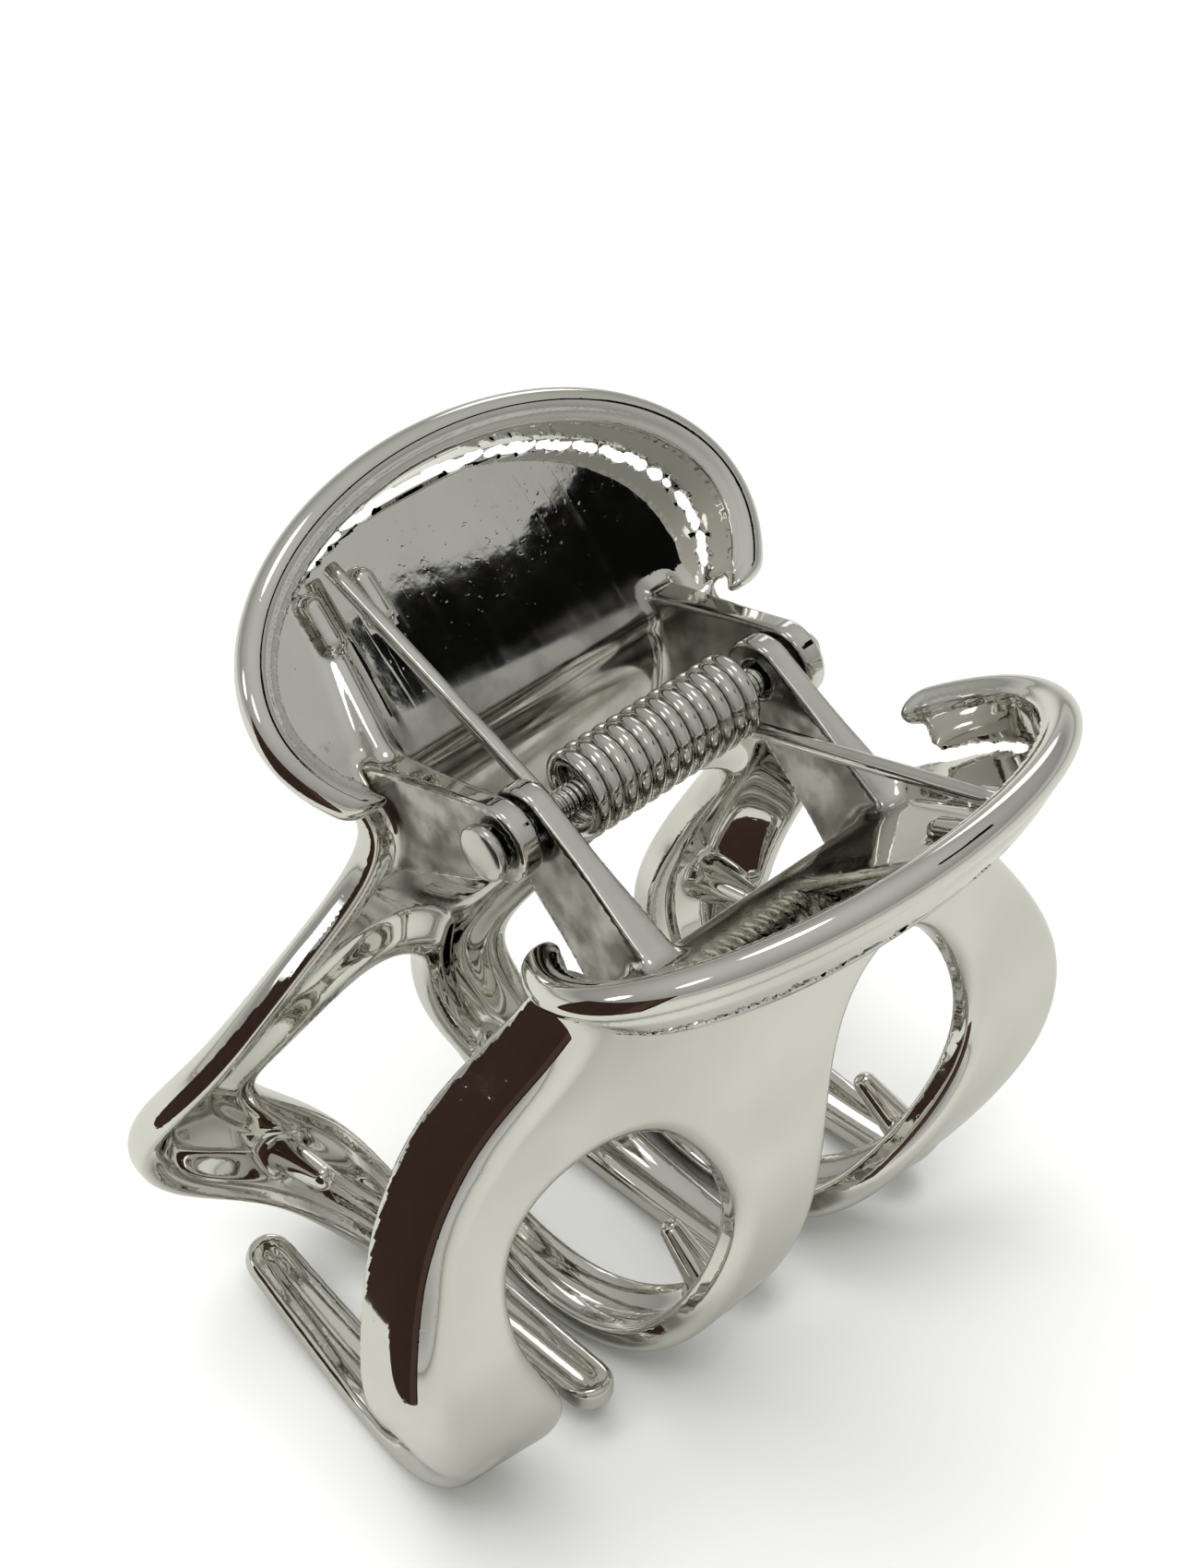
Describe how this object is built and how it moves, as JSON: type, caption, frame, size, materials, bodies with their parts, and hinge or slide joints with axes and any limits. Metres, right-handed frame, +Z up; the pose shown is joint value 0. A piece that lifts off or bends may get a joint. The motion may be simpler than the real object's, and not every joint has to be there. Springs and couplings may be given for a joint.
{
  "type": "claw hair clip",
  "caption": "Metal claw hair clip: two cast jaws with dished handles and curved fingers, on a sprung hinge pin.",
  "frame": {"origin": "under the middle of the clip, at the height of the fingers' undersides that it stands on", "axes": "+Z up towards the handles, X along the hinge pin, -Y towards the front jaw"},
  "size_m": [0.0498, 0.0394, 0.0506],
  "materials": {
    "plated_casting": "polished plating",
    "pin_metal": "plated, slightly dull",
    "spring_wire": "bright plated wire"
  },
  "bodies": {
    "rear_half": {"rear_jaw": "plated_casting", "hinge_pin": "pin_metal", "torsion_spring": "spring_wire"},
    "front_half": {"front_jaw": "plated_casting"}
  },
  "joints": [
    {"name": "jaw_hinge", "type": "hinge", "parent": "rear_half", "child": "front_half", "pos_m": [0, 0, 0.04208], "axis": [-1, 0, 0], "range_deg": [0, 80], "stiffness_Nm_per_rad": 0.04, "springref_deg": -25.21, "deforming": ["torsion_spring"]}
  ]
}
